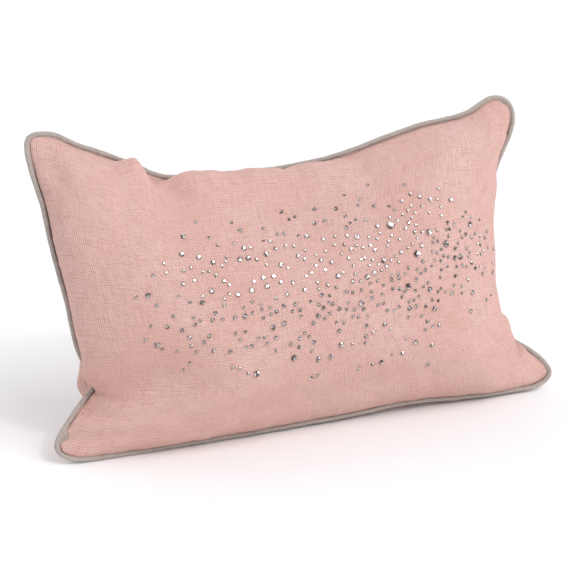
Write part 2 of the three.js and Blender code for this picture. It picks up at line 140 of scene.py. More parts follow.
def mesh_object(name, points, faces, uv=None, smooth=True):
    """A mesh object from points in millimetres, with an optional place on the flat cloth for each point."""
    mesh = bpy.data.meshes.new(name)
    places = np.asarray(points, float).reshape(-1, 3) * MM
    mesh.from_pydata(places.tolist(), [], np.asarray(faces).tolist())
    if uv is not None:
        corners = np.empty(len(mesh.loops), dtype=int)
        mesh.loops.foreach_get("vertex_index", corners)
        layer = mesh.uv_layers.new(name="cloth")
        layer.data.foreach_set("uv", (np.asarray(uv, float).reshape(-1, 2)[corners] * MM).ravel())
    mesh.polygons.foreach_set("use_smooth", [smooth] * len(mesh.polygons))
    mesh.update()
    return new_object(name, mesh)


def add(tree, kind, inputs=None, **settings):
    """Adds a node, sets its properties, and gives its inputs a value or a link."""
    node = tree.nodes.new(kind)
    for name, value in settings.items():
        setattr(node, name, value)
    for key, value in (inputs or {}).items():
        if isinstance(value, bpy.types.NodeSocket):
            tree.links.new(value, node.inputs[key])
        else:
            node.inputs[key].default_value = value
    return node


def colour(code):
    """A linear colour from an sRGB hex value."""
    parts = [int(code[k:k + 2], 16) / 255 for k in (1, 3, 5)]
    return (*[c / 12.92 if c <= 0.04045 else ((c + 0.055) / 1.055) ** 2.4 for c in parts], 1.0)


def bands(pitch):
    """A wave texture's scale for bands that lie a pitch in millimetres apart."""
    return 2 * math.pi / 20 / (pitch * MM)


def grains(size):
    """A noise texture's scale for patches of a size in millimetres."""
    return 1 / (size * MM)


def unit(vectors):
    return vectors / np.maximum(np.linalg.norm(vectors, axis=-1, keepdims=True), 1e-9)


# ---------------------------------------------------------------- seam line of the filled cover
# Each side's points: across, up the leaning seam plane, and out of it. The first and last of a side
# lie on the ears, whose tips are half way to the next side.
LOWER = [(-238, 5, 0), (-228, 1, 0), (-205, 0, 0), (-150, 0, 0), (-60, 1, 0), (30, 3, 0), (90, 6, 0),
         (130, 4, 0), (170, 2, 0), (205, 2, 0), (228, 3, 0), (238, 7, 0)]
RIGHT = [(243, 14, 0), (238, 23, 0), (229, 33, -2), (215, 44, -6), (201, 56, -11), (193, 75, -13),
         (191, 110, -13), (193, 140, -12), (196, 170, -11), (203, 200, -8), (214, 226, -4), (227, 250, 0),
         (233, 266, 0), (232, 276, 0)]
UPPER = [(226, 282, 0), (216, 284, 0), (204, 280, 0), (190, 273, 0), (176, 269, 0), (138, 264, -2),
         (92, 253, -5), (54, 243, -9), (22, 238, -14), (-20, 235, -18), (-60, 235, -20), (-95, 235, -20),
         (-121, 238, -18), (-140, 246, -14), (-160, 255, -8), (-180, 263, -2), (-200, 271, 0),
         (-216, 280, 0), (-228, 282, 0)]
LEFT = [(-237, 280, 0), (-239, 270, 0), (-237, 252, 0), (-231, 221, 0), (-227, 183, 0), (-220, 138, 0),
        (-216, 104, -3), (-212, 88, -8), (-203, 75, -17), (-197, 65, -22), (-203, 56, -17), (-216, 47, -7),
        (-226, 38, -1), (-237, 25, 0), (-243, 14, 0)]


def smooth_loop(points, steps):
    """A closed centripetal Catmull-Rom curve through the points."""
    p = np.asarray(points, float)
    rolled = [np.roll(p, k, axis=0) for k in (1, 0, -1, -2)]
    knots = [np.zeros(len(p))]
    for a, b in zip(rolled, rolled[1:]):
        knots.append(knots[-1] + np.sqrt(np.linalg.norm(b - a, axis=1)))
    curve = []
    for share in np.arange(steps) / steps:
        t = knots[1] + share * (knots[2] - knots[1])
        layer = rolled
        for level in (1, 2, 3):
            layer = [((knots[k + level] - t)[:, None] * layer[k] + (t - knots[k])[:, None] * layer[k + 1])
                     / (knots[k + level] - knots[k])[:, None]
                     for k in range(4 - level)]
        curve.append(layer[0])
    return np.stack(curve, axis=1).reshape(-1, 3)


def evenly(line, cells):
    """The line's points respaced evenly along it."""
    length = np.concatenate([[0], np.cumsum(np.linalg.norm(np.diff(line, axis=0), axis=1))])
    even = np.linspace(0, length[-1], cells + 1)
    return np.stack([np.interp(even, length, line[:, k]) for k in range(3)], axis=1)


def seam_sides():
    """The seam's four sides from ear tip to ear tip: lower and upper run right, left and right run up."""
    steps = 24
    lists = [LOWER, RIGHT, UPPER, LEFT]
    points = np.array(sum(lists, []), float)
    placed = foot + points[:, :1] * ACROSS + points[:, 1:2] * UPWARD + points[:, 2:] * FORWARD
    loop = smooth_loop(placed, steps)
    sides = []
    start = -(steps // 2)
    for side, cells in zip(lists, (COLUMNS, ROWS, COLUMNS, ROWS)):
        end = start + len(side) * steps
        sides.append(evenly(loop[np.arange(start, end + 1) % len(loop)], cells))
        start = end
    lower, right, upper, left = sides
    return lower, right, upper[::-1], left[::-1]


lower_seam, right_seam, upper_seam, left_seam = seam_sides()
S = np.linspace(-1, 1, COLUMNS + 1)[None, :]
T = np.linspace(0, 1, ROWS + 1)[:, None]
ZIP_T = ZIP_ROW / ROWS


# ---------------------------------------------------------------- the cover, filled
def flat_panel():
    """Where each grid point of a panel lies on the cut cloth, with its rounded corners."""
    def drop(distance):
        inward = np.maximum(EAR_RADIUS - distance, 0)
        return EAR_RADIUS - np.sqrt(EAR_RADIUS ** 2 - inward ** 2)

    tip = EAR_RADIUS * (1 - math.sqrt(0.5))
    side = FLAT_WIDTH / 2 - drop(FLAT_HEIGHT * np.minimum(T, 1 - T) + tip)
    low = drop(FLAT_WIDTH / 2 * (1 - np.abs(S)) + tip)
    return np.stack(np.broadcast_arrays(S * side, low + T * (FLAT_HEIGHT - 2 * low)), axis=2)


def back_stretch(flat):
    """The same for the back, which is cut longer above and below its zip."""
    longer = flat.copy()
    longer[..., 1] = np.interp(flat[..., 1], [0, ZIP_T * FLAT_HEIGHT, FLAT_HEIGHT],
                               [0, BACK_ZIP_HEIGHT, BACK_HEIGHT])
    return longer


def seam_sheet():
    """A plain sheet spanned between the four sides of the seam."""
    s = (S[..., None] + 1) / 2
    t = T[..., None]
    across = (1 - s) * left_seam[:, None] + s * right_seam[:, None]
    upward = (1 - t) * lower_seam[None] + t * upper_seam[None]
    corners = ((1 - s) * (1 - t) * lower_seam[0] + s * (1 - t) * lower_seam[-1]
               + (1 - s) * t * upper_seam[0] + s * t * upper_seam[-1])
    return across + upward - corners


def rough_faces():
    """The two faces roughly filled, where the simulation starts."""
    sheet = seam_sheet()
    crown = (1 - np.abs(S) ** 3.6) ** 0.6 * (4 * T * (1 - T)) ** 0.62
    front = sheet + FACE_CROWN * crown[:, :, None] * FORWARD

    # The back turns in to the side seams over a third of its half width, and faster beside the zip,
    # where it stays flat until past the zip's end
    half = np.where(S < 0, np.abs(left_seam[:, :1]), right_seam[:, :1])
    by_zip = np.exp(-((T - ZIP_T) / 0.14) ** 2)
    side_turn = 0.36
    turn_share = side_turn + (1 - (ZIP_HALF + 14) / half - side_turn) * by_zip
    reach = np.clip((1 - np.abs(S)) / turn_share, 0, 1)
    fullness = np.sqrt(1 - (1 - reach) ** 2)

    # Up each column: the seam, the back edge of the base, the zip's strip, and the upper seam
    strip_share = STRIP_ROWS / ROWS
    keys = [0, 0.15, ZIP_T - strip_share, ZIP_T + strip_share, 1]
    strip = [zip_origin - STRIP_HALF * zip_up, zip_origin + STRIP_HALF * zip_up]
    base_edge = np.array([0, foot[1] + BASE_DEPTH, 0.4])
    back = np.empty_like(sheet)
    for j in range(COLUMNS + 1):
        profile = np.array([lower_seam[j], base_edge, *strip, upper_seam[j]])
        line = np.stack([np.interp(T[:, 0], keys, profile[:, k]) for k in range(3)], axis=1)
        line[:, 0] = sheet[:, j, 0]
        back[:, j] = sheet[:, j] + (line - sheet[:, j]) * fullness[:, j, None]
    bow = BACK_BOW * fullness * np.sin(np.pi * np.clip((T - ZIP_T) / (1 - ZIP_T), 0, 1))
    return front, back - bow[:, :, None] * FORWARD


def grid_faces(index, flip=False):
    """The four-sided faces between neighbouring points of a grid of point numbers."""
    a, b, c, d = index[:-1, :-1], index[:-1, 1:], index[1:, 1:], index[1:, :-1]
    order = (a, d, c, b) if flip else (a, b, c, d)
    return np.stack(order, axis=-1).reshape(-1, 4)


def fill_cover():
    """Blows the sewn cover up from inside, with its seam and zip held, and gives its two faces."""
    front, back = rough_faces()
    inside = (slice(1, -1), slice(1, -1))
    index_front = np.arange(front.shape[0] * front.shape[1]).reshape(front.shape[:2])
    index_back = index_front.copy()
    index_back[inside] = index_front.size + np.arange(back[inside][..., 0].size).reshape(ROWS - 1, -1)
    faces = np.vstack([grid_faces(index_front), grid_faces(index_back, flip=True)])
    points = np.vstack([front.reshape(-1, 3), back[inside].reshape(-1, 3)])
    cover = mesh_object("filling", points, faces)
    taut = cover.vertex_groups.new(name="taut")
    taut.add(np.unique(index_back[inside]).tolist(), 1.0, "REPLACE")
    held = cover.vertex_groups.new(name="held")
    seam = np.concatenate([index_front[0], index_front[-1], index_front[:, 0], index_front[:, -1]])
    strip = slice(ZIP_ROW - STRIP_ROWS, ZIP_ROW + STRIP_ROWS + 1)
    zip_points = index_back[strip][np.abs(back[strip, :, 0]) < ZIP_HALF + STRIP_PAST_ZIP]
    held.add(np.unique(np.concatenate([seam, zip_points])).tolist(), 1.0, "REPLACE")
    reach, drop = 900, -1.6
    corners = [(-reach, -reach, drop), (reach, -reach, drop), (reach, reach, drop), (-reach, reach, drop)]
    table = mesh_object("table", corners, [(0, 1, 2, 3)])
    table.modifiers.new("Collision", "COLLISION")
    table.collision.thickness_outer = 0.001
    cloth = cover.modifiers.new("Cloth", "CLOTH")
    fabric = cloth.settings
    fabric.vertex_group_mass = "held"
    fabric.vertex_group_shrink = "taut"
    fabric.shrink_min = -FACE_SLACK
    fabric.shrink_max = -BACK_SLACK
    fabric.quality = 8
    fabric.mass = 0.005
    fabric.tension_stiffness = 40
    fabric.compression_stiffness = 40
    fabric.shear_stiffness = 8
    fabric.bending_stiffness = 0.5
    fabric.air_damping = 1
    fabric.use_pressure = True
    fabric.uniform_pressure_force = 60
    fabric.effector_weights.gravity = 0
    cloth.collision_settings.distance_min = 0.0008
    for step in range(1, 31):
        bpy.context.scene.frame_set(step)
    graph = bpy.context.evaluated_depsgraph_get()
    filled = cover.evaluated_get(graph).to_mesh()
    result = np.empty(len(points) * 3)
    filled.vertices.foreach_get("co", result)
    result = result.reshape(-1, 3) / MM
    for obj in (cover, table):
        bpy.data.objects.remove(obj)
    bpy.context.scene.frame_set(1)
    return result[index_front], result[index_back]


def finer(grid):
    """The grid with a point between each two, on smooth curves through them."""
    for axis in (0, 1):
        g = np.moveaxis(grid, axis, 0)
        ends = np.concatenate([[2 * g[0] - g[1]], g, [2 * g[-1] - g[-2]]])
        middle = (9 * (ends[1:-2] + ends[2:-1]) - ends[:-3] - ends[3:]) / 16
        fine = np.empty((2 * len(g) - 1, *g.shape[1:]))
        fine[::2] = g
        fine[1::2] = middle
        grid = np.moveaxis(fine, 0, axis)
    return grid


def grid_normals(grid):
    """The unit normals of a grid's points, out of the face as the front sees it."""
    return unit(np.cross(np.gradient(grid, axis=1), np.gradient(grid, axis=0)))


def eased(grid, passes):
    """The grid with its sharpest wrinkles let out, as a firm lining does; its rim stays."""
    for _ in range(passes):
        around = grid[:-2, 1:-1] + grid[2:, 1:-1] + grid[1:-1, :-2] + grid[1:-1, 2:]
        grid[1:-1, 1:-1] += (around / 4 - grid[1:-1, 1:-1]) / 2
    return grid


front_face, back_face = fill_cover()
front_face = eased(front_face, passes=8)


# ---------------------------------------------------------------- puckers and creases
def ripple(along, waves, spread):
    """An uneven ripple along a seam: waves of several lengths in millimetres, with a drifting strength."""
    total = np.zeros_like(along)
    for wave in waves:
        total += np.sin(along / (wave * (1 + spread * rng.random())) * 2 * np.pi + rng.random() * 7)
    drift = 0.6 + 0.4 * np.sin(along / 83 + rng.random() * 7) * np.sin(along / 37 + rng.random() * 7)
    return total / len(waves) * drift


def seam_puckers(flat, height, lower, upper, sides):
    """How far the cloth next to its seams stands in and out, from the pull of the stitches."""
    x, v = flat[..., 0], flat[..., 1]
    puckers = np.zeros_like(x)
    for along, distance, size in ((x, v, lower), (x, height - v, upper), (v, FLAT_WIDTH / 2 + x, sides),
                                  (v, FLAT_WIDTH / 2 - x, sides)):
        distance = np.maximum(distance, 0)
        fine = ripple(along, (8, 11, 15), 0.3) * np.exp(-distance / 7)
        broad = ripple(along, (24, 34, 47), 0.3) * np.exp(-distance / 24) * 1.3
        puckers += size * (1 - np.exp(-distance / 2.5)) * (fine + broad)
    return puckers


# Creases of the face on the flat cloth: from, to, depth and half width. The first two are the tuck at the
# lower left ear, the third the one beside the lower right ear, the fourth the fold in the upper seam.
CREASES = [((-244, 42), (-165, 48), 5.0, 9), ((-246, 20), (-150, 25), 4.5, 8),
           ((250, 74), (220, 30), 11.0, 7), ((-128, 297), (-92, 246), 6.0, 12),
           ((-4, 298), (14, 280), 2.2, 6), ((232, 270), (212, 244), 2.0, 8),
           ((-232, 268), (-214, 238), 1.8, 9), ((62, 298), (84, 276), 1.6, 8),
           ((-60, 299), (-44, 276), 1.4, 9)]


def crease_depth(flat):
    """How deep the face's creases go, each fading towards its far end."""
    depth = np.zeros(flat.shape[:2])
    for start, end, deep, width in CREASES:
        start, end = np.array(start, float), np.array(end, float)
        run = end - start
        along = (flat - start) @ run / np.sum(run ** 2)
        away = np.linalg.norm(flat - start - np.clip(along, 0, 1)[..., None] * run, axis=2) / width
        fade = np.clip(1.05 - along, 0, 1) ** 1.3 * np.clip(2.5 + 12 * along, 0, 1)
        depth += deep * fade * (np.exp(-away ** 2) - 0.45 * np.exp(-((away - 1.9) / 0.9) ** 2))
    return depth


# Where each face rolls out over its seam: the side, the middle along that side, half the width, the reach
ROLLS = [("upper", -152, 17, 14), ("upper", -88, 34, 15), ("upper", -28, 40, 14), ("upper", 28, 24, 9),
         ("right", 205, 34, 10), ("right", 150, 34, 11), ("right", 92, 36, 14), ("right", 60, 14, 9),
         ("left", 86, 18, 19), ("left", 128, 34, 6), ("left", 190, 60, 6),
         ("lower", -150, 42, 4), ("lower", -60, 46, 6), ("lower", 20, 36, 5), ("lower", 95, 44, 6),
         ("lower", 180, 34, 5)]
BACK_ROLLS = [("left", 92, 24, 21), ("right", 100, 60, 8)]


def rolled_out(flat, rolls):
    """How far a panel is carried outwards beside its seams, where it is too full to lie flat."""
    x, v = flat[..., 0], flat[..., 1]
    moved = np.zeros((*x.shape, 3))
    for side, middle, half, reach in rolls:
        along, distance, direction = {"upper": (x, FLAT_HEIGHT - v, UPWARD),
                                      "right": (v, FLAT_WIDTH / 2 - x, ACROSS),
                                      "left": (v, FLAT_WIDTH / 2 + x, -ACROSS),
                                      "lower": (x, v, 0.9 * FORWARD - 0.3 * UPWARD)}[side]
        share = np.maximum(distance, 0) / 13
        swell = share * np.exp(1 - share) * np.exp(-((along - middle) / half) ** 2)
        moved += (reach * swell)[..., None] * direction
    return moved


flat_front = finer(flat_panel())
flat_back = finer(back_stretch(flat_panel()))
front_cloth = finer(front_face)
back_cloth = finer(back_face)
front_normals = grid_normals(front_cloth)
back_normals = -grid_normals(back_cloth)
rim = np.ones(flat_front.shape[:2])
rim[[0, -1]] = rim[:, [0, -1]] = 0
swell = seam_puckers(flat_front, FLAT_HEIGHT, lower=1.1, upper=1.0, sides=0.7) - crease_depth(flat_front)
front_cloth += rolled_out(flat_front, ROLLS)
front_cloth += (swell * rim)[..., None] * front_normals
swell = seam_puckers(flat_back, BACK_HEIGHT, lower=0.3, upper=1.0, sides=0.8)
from_zip = np.abs(flat_back[..., 1] - BACK_ZIP_HEIGHT)
off_strip = np.clip((from_zip - STRIP_HALF) / 12, 0, 1)
back_cloth += rolled_out(flat_back, BACK_ROLLS)
back_cloth += (swell * rim * off_strip)[..., None] * back_normals
for cloth in (front_cloth, back_cloth):
    cloth[..., 2] = np.maximum(cloth[..., 2], REST_GAP)


# ---------------------------------------------------------------- cover panels
def seam_loop_points():
    """The whole seam in order round the cover, lower left ear first, on the fine grid."""
    g = front_cloth
    return np.vstack([g[0, :-1], g[:-1, -1], g[-1, :0:-1], g[:0:-1, 0]])


def loop_frame(loop):
    """At each point of the seam: the way out from the cushion, and the way to its front."""
    along = unit(np.roll(loop, -2, axis=0) - np.roll(loop, 2, axis=0))
    away = unit(np.cross(along, FORWARD))
    down = np.clip(-(away @ UPWARD), 0, 1)[:, None]
    away = unit(away * (1 - down) + down * np.array([0, -1, 0.05]))
    away = unit(away - np.sum(away * along, axis=1, keepdims=True) * along)
    return away, np.cross(away, along)


seam = seam_loop_points()
seam_away, seam_front = loop_frame(seam)


def open_rim(grid, toward):
    """The grid with its rim moved off the seam line, to the front (1) or the back (-1)."""
    rows, columns = grid.shape[0] - 1, grid.shape[1] - 1
    i, j = np.meshgrid(np.arange(rows + 1), np.arange(columns + 1), indexing="ij")
    to_rim = np.minimum(np.minimum(i, rows - i), np.minimum(j, columns - j))
    place = np.empty((rows + 1, columns + 1), dtype=int)
    place[0, :-1] = np.arange(columns)
    place[:-1, -1] = columns + np.arange(rows)
    place[-1, :0:-1] = columns + rows + np.arange(columns)
    place[:0:-1, 0] = 2 * columns + rows + np.arange(rows)
    shifted = grid.copy()
    edge = to_rim == 0
    shifted[edge] += toward * SEAM_SLIT * seam_front[place[edge]]
    return shifted


def cover_piece(name, grid, flat, flip):
    """A panel of cover cloth with its thickness inwards."""
    index = np.arange(grid.shape[0] * grid.shape[1]).reshape(grid.shape[:2])
    piece = mesh_object(name, grid, grid_faces(index, flip), uv=flat)
    wall = piece.modifiers.new("thickness", "SOLIDIFY")
    wall.thickness = CLOTH * MM
    wall.offset = -1
    piece.data.materials.append(cover_linen)
    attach(piece, "cushion")
    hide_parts(name.replace("cover", "panel"))


def grid_at_rows(grid, rows):
    """The grid's points at fractional rows, given for each new row and each column."""
    low = np.clip(np.floor(rows).astype(int), 0, grid.shape[0] - 2)
    share = (rows - low)[..., None]
    columns = np.arange(grid.shape[1])[None, :]
    return grid[low, columns] * (1 - share) + grid[low + 1, columns] * share


def back_piece(name, upper):
    """One back panel, from the zip's slot or the sewn seam beside it to the cover's seam."""
    middle = 2 * ZIP_ROW
    spacing = STRIP_HALF / STRIP_ROWS / 2
    grid = open_rim(back_cloth, -1)
    beside = np.abs(grid[middle, :, 0]) > ZIP_HALF
    edge = np.where(beside, CLOTH_SEAM_GAP / 2, SLOT_HALF_WIDTH) / spacing
    first = np.stack([edge + (4 - edge) * share for share in (0, 0.35, 0.7)])
    last = len(grid) - 1 - middle if upper else middle
    rest = np.repeat(np.arange(4, last + 1)[:, None], grid.shape[1], axis=1)
    away = np.vstack([first, rest])
    rows = middle + away
    sunk = SEAM_DENT * np.where(beside, 1.0, 0) * np.exp(-(away * spacing / 2.5) ** 2)
    if not upper:
        rows = (middle - away)[::-1]
        sunk = sunk[::-1]
    cloth = grid_at_rows(grid, rows) - sunk[..., None] * grid_at_rows(back_normals, rows)
    # The back's cloth is cut from another part of the roll than the face's
    flat = grid_at_rows(flat_back, rows) + np.array([600, 0])
    cover_piece(name, cloth, flat, flip=True)


# ---------------------------------------------------------------- materials
def surface(name, build):
    """A material whose nodes are made by a function of its tree that returns the shader's inputs."""
    material = bpy.data.materials.new(name)
    material.use_nodes = True
    tree = material.node_tree
    tree.nodes.clear()
    shader = add(tree, "ShaderNodeBsdfPrincipled", build(tree))
    add(tree, "ShaderNodeOutputMaterial", {"Surface": shader.outputs[0]})
    return material


def weave(tree, pitch, slub_length, turn=0.0):
    """A plain weave of slubby yarn on the flat cloth: the place on the cloth and the yarns' height."""
    place = add(tree, "ShaderNodeUVMap", uv_map="cloth").outputs[0]
    if turn:
        place = add(tree, "ShaderNodeMapping", {"Vector": place, "Rotation": (0, 0, turn)}).outputs[0]
    yarns, slubs = [], []
    for k, direction in enumerate(("X", "Y")):
        wave = add(tree, "ShaderNodeTexWave", {"Vector": place, "Scale": bands(pitch), "Distortion": 1.3,
                                               "Detail": 1.0, "Detail Scale": 0.22},
                   wave_type="BANDS", bands_direction=direction)
        across, along = grains(pitch * 1.1), grains(slub_length)
        stretch = (across, along, 1) if direction == "X" else (along, across, 1)
        stretched = add(tree, "ShaderNodeMapping", {"Vector": place, "Scale": stretch,
                                                    "Location": (k * 7, 3, 0)})
        slub = add(tree, "ShaderNodeTexNoise", {"Vector": stretched.outputs[0], "Scale": 1.0, "Detail": 2.0,
                                                "Roughness": 0.6})
        yarns.append(wave.outputs["Fac"])
        slubs.append(slub.outputs["Fac"])
    yarn = add(tree, "ShaderNodeMath", {0: yarns[0], 1: yarns[1]}, operation="ADD").outputs[0]
    slub = add(tree, "ShaderNodeMath", {0: slubs[0], 1: slubs[1]}, operation="ADD").outputs[0]
    height = add(tree, "ShaderNodeMath", {0: slub, 1: 1.6, 2: yarn}, operation="MULTIPLY_ADD").outputs[0]
    return place, height


# Linen in a slub weave: thick and thin yarns give short darker dashes both ways, a dry matt face and a soft
# pale edge where its fibres catch the light. Its yarns lie about 0.8 mm apart and are drawn at 1.55 mm, the
# finest that shows.
def linen(tree):
    place, height = weave(tree, pitch=1.55, slub_length=16)
    shade = add(tree, "ShaderNodeMapRange", {"Value": height, "From Min": 1.5, "From Max": 2.8})
    ramp = add(tree, "ShaderNodeValToRGB", {"Fac": shade.outputs[0]})
    stops = ramp.color_ramp.elements
    stops[0].color = colour("#a57466")
    stops[0].position = 0.0
    stops[1].color = colour("#e2bfb7")
    stops[1].position = 1.0
    stops.new(0.45).color = colour("#cfa499")
    cloudy = add(tree, "ShaderNodeTexNoise", {"Vector": place, "Scale": grains(71.43), "Detail": 3.0})
    tone = add(tree, "ShaderNodeMapRange", {"Value": cloudy.outputs["Fac"], "From Min": 0.3,
                                            "From Max": 0.7, "To Min": 0.0, "To Max": 0.5})
    tinted = add(tree, "ShaderNodeMix", {"Factor": tone.outputs[0], 6: ramp.outputs[0], 7: colour("#cf9d90")},
                 data_type="RGBA")
    bump = add(tree, "ShaderNodeBump", {"Height": height, "Strength": 0.55, "Distance": 0.00045})
    return {"Base Color": tinted.outputs[2], "Roughness": 0.88, "Specular IOR Level": 0.2,
            "Sheen Weight": 0.18, "Sheen Roughness": 0.5, "Sheen Tint": colour("#f3d9d2"),
            "Normal": bump.outputs[0]}


# Cotton cut on the bias: its threads run slantwise round the piping, and the tight wrap gives it a slight
# shine on top. The threads lie about 0.5 mm apart and are drawn at 0.95 mm so that they show.
def bias_strip(tree):
    height = weave(tree, pitch=0.95, slub_length=9, turn=math.radians(45))[1]
    shade = add(tree, "ShaderNodeMapRange", {"Value": height, "From Min": 1.3, "From Max": 3.0})
    ramp = add(tree, "ShaderNodeValToRGB", {"Fac": shade.outputs[0]})
    ramp.color_ramp.elements[0].color = colour("#7d6f67")
    ramp.color_ramp.elements[1].color = colour("#bdb2aa")
    bump = add(tree, "ShaderNodeBump", {"Height": height, "Strength": 0.5, "Distance": 0.0003})
    return {"Base Color": ramp.outputs[0], "Roughness": 0.75, "Specular IOR Level": 0.3,
            "Sheen Weight": 0.15, "Sheen Roughness": 0.5, "Normal": bump.outputs[0]}


# Cut glass with foil behind it, under a clear gloss. Each facet's colour is painted reflection: a random
# value per facet picks a dark, grey or bright colour that stands in for the part of the room the facet would
# throw back.
def crystal_foil(tree):
    painted_facet_reflection = add(tree, "ShaderNodeAttribute", attribute_name="painted_facet_reflection").outputs["Fac"]
    ramp = add(tree, "ShaderNodeValToRGB", {"Fac": painted_facet_reflection})
    stops = ramp.color_ramp.elements
    stops[0].color = colour("#4a423f")
    stops[0].position = 0.15
    stops[1].color = colour("#e9e4e0")
    stops[1].position = 0.85
    stops.new(0.5).color = colour("#9d948f")
    return {"Base Color": ramp.outputs[0], "Metallic": 0.85, "Roughness": 0.12, "Coat Weight": 0.6,
            "Coat Roughness": 0.03}


# Spun cotton: a soft, dull, off-white twist with fine fuzz.
def cotton(tree):
    place = add(tree, "ShaderNodeTexCoord").outputs["Object"]
    fibres = add(tree, "ShaderNodeTexNoise", {"Vector": place, "Scale": grains(1.11), "Detail": 3.0})
    ramp = add(tree, "ShaderNodeValToRGB", {"Fac": fibres.outputs["Fac"]})
    ramp.color_ramp.elements[0].color = colour("#d8d2c6")
    ramp.color_ramp.elements[1].color = colour("#f5f2ea")
    bump = add(tree, "ShaderNodeBump", {"Height": fibres.outputs["Fac"], "Strength": 0.4,
                                        "Distance": 0.0003})
    return {"Base Color": ramp.outputs[0], "Roughness": 0.9, "Normal": bump.outputs[0]}


# Polyester tape in a twill weave: slanting ribs, smoother than the cover. The ribs are about 0.5 mm apart
# and are drawn at 0.9 mm so that they show.
def zip_tape(tree):
    place = add(tree, "ShaderNodeTexCoord").outputs["Object"]
    twill = add(tree, "ShaderNodeTexWave", {"Vector": place, "Scale": bands(0.9)}, wave_type="BANDS",
                bands_direction="DIAGONAL")
    ramp = add(tree, "ShaderNodeValToRGB", {"Fac": twill.outputs["Fac"]})
    ramp.color_ramp.elements[0].color = colour("#c79a8e")
    ramp.color_ramp.elements[1].color = colour("#e6c3b9")
    bump = add(tree, "ShaderNodeBump", {"Height": twill.outputs["Fac"], "Strength": 0.4, "Distance": 0.0002})
    return {"Base Color": ramp.outputs[0], "Roughness": 0.8, "Normal": bump.outputs[0]}


# Extruded nylon wire, dyed to match: a smooth, slightly waxy shine with a few duller patches.
def nylon(tree):
    place = add(tree, "ShaderNodeTexCoord").outputs["Object"]
    wear = add(tree, "ShaderNodeTexNoise", {"Vector": place, "Scale": grains(1.43)})
    rough = add(tree, "ShaderNodeMapRange", {"Value": wear.outputs["Fac"], "To Min": 0.28, "To Max": 0.5})
    ramp = add(tree, "ShaderNodeValToRGB", {"Fac": wear.outputs["Fac"]})
    ramp.color_ramp.elements[0].color = colour("#cfa195")
    ramp.color_ramp.elements[1].color = colour("#e9c7bd")
    return {"Base Color": ramp.outputs[0], "Roughness": rough.outputs[0], "IOR": 1.53}


# Cast zinc with nickel plate: a cool grey metal shine, faintly uneven from the casting.
def zinc(tree):
    place = add(tree, "ShaderNodeTexCoord").outputs["Object"]
    cast = add(tree, "ShaderNodeTexNoise", {"Vector": place, "Scale": grains(0.77), "Detail": 4.0})
    rough = add(tree, "ShaderNodeMapRange", {"Value": cast.outputs["Fac"], "To Min": 0.2, "To Max": 0.42})
    bump = add(tree, "ShaderNodeBump", {"Height": cast.outputs["Fac"], "Strength": 0.2, "Distance": 0.0001})
    return {"Base Color": colour("#b9babd"), "Metallic": 1.0, "Roughness": rough.outputs[0],
            "Normal": bump.outputs[0]}


# Spun polyester thread: small bright stitches, a little glossier than the cloth they sink into.
def thread(tree):
    place = add(tree, "ShaderNodeTexCoord").outputs["Object"]
    ply = add(tree, "ShaderNodeTexNoise", {"Vector": place, "Scale": grains(0.667)})
    ramp = add(tree, "ShaderNodeValToRGB", {"Fac": ply.outputs["Fac"]})
    ramp.color_ramp.elements[0].color = colour("#c2948a")
    ramp.color_ramp.elements[1].color = colour("#f0d2c9")
    return {"Base Color": ramp.outputs[0], "Roughness": 0.5, "Sheen Weight": 0.2}


# Satin ribbon: long floating yarns that give a smooth face with a soft shine. The yarns are drawn at
# 0.4 mm, about twice their real spacing.
def satin(tree):
    place = add(tree, "ShaderNodeTexCoord").outputs["Object"]
    float_yarn = add(tree, "ShaderNodeTexWave", {"Vector": place, "Scale": bands(0.4)}, wave_type="BANDS",
                     bands_direction="X")
    ramp = add(tree, "ShaderNodeValToRGB", {"Fac": float_yarn.outputs["Fac"]})
    ramp.color_ramp.elements[0].color = colour("#e4e0d8")
    ramp.color_ramp.elements[1].color = colour("#f8f6f1")
    bump = add(tree, "ShaderNodeBump", {"Height": float_yarn.outputs["Fac"], "Strength": 0.2,
                                        "Distance": 0.0001})
    return {"Base Color": ramp.outputs[0], "Roughness": 0.42, "Normal": bump.outputs[0]}


cover_linen = surface("linen_slub_woven", linen)
piping_cotton = surface("cotton_bias_strip_woven", bias_strip)
crystal_glass = surface("foiled_glass_crystal_cut", crystal_foil)
filler_cotton = surface("cotton_cord_spun", cotton)
zip_twill = surface("polyester_tape_twill_woven", zip_tape)
zip_nylon = surface("nylon_coil_extruded", nylon)
zip_zinc = surface("zinc_nickel_plated_cast", zinc)
stitch_polyester = surface("polyester_thread_spun", thread)
label_satin = surface("polyester_satin_woven", satin)

cover_piece("front_cover", open_rim(front_cloth, 1), flat_front, flip=False)
back_piece("back_cover_upper", upper=True)
back_piece("back_cover_lower", upper=False)


# ---------------------------------------------------------------- piping
def sweep(path, section):
    """Rings of a section along the seam; its points lie away from the cushion and to its front."""
    away, front = np.asarray(section, float).T[:, None, :, None]
    return path[:, None] + away * seam_away[:, None] + front * seam_front[:, None]


def ring_faces(rings, points):
    """The faces between the rings of a closed tube."""
    here = np.arange(rings)[:, None] * points + np.arange(points)[None, :]
    ahead = np.roll(here, -1, axis=0)
    corners = (ahead, np.roll(ahead, -1, axis=1), np.roll(here, -1, axis=1), here)
    return np.stack(corners, axis=-1).reshape(-1, 4)


def circle(radius, points):
    """The points of a round section."""
    angle = np.arange(points) / points * 2 * np.pi
    return np.stack([radius * np.cos(angle), radius * np.sin(angle)], axis=1)


def casing_section(points=18):
    """The bias strip's outline: round the filler, then back along its sewn-in allowance."""
    neck = math.radians(168)
    angle = np.linspace(-neck, neck, points)
    bend = np.stack([PIPING_RADIUS * np.cos(angle), PIPING_RADIUS * np.sin(angle)], axis=1)
    end = -PIPING_RADIUS - PIPING_FLANGE
    return np.vstack([bend, [(end, FLANGE_HALF), (end, -FLANGE_HALF)]])


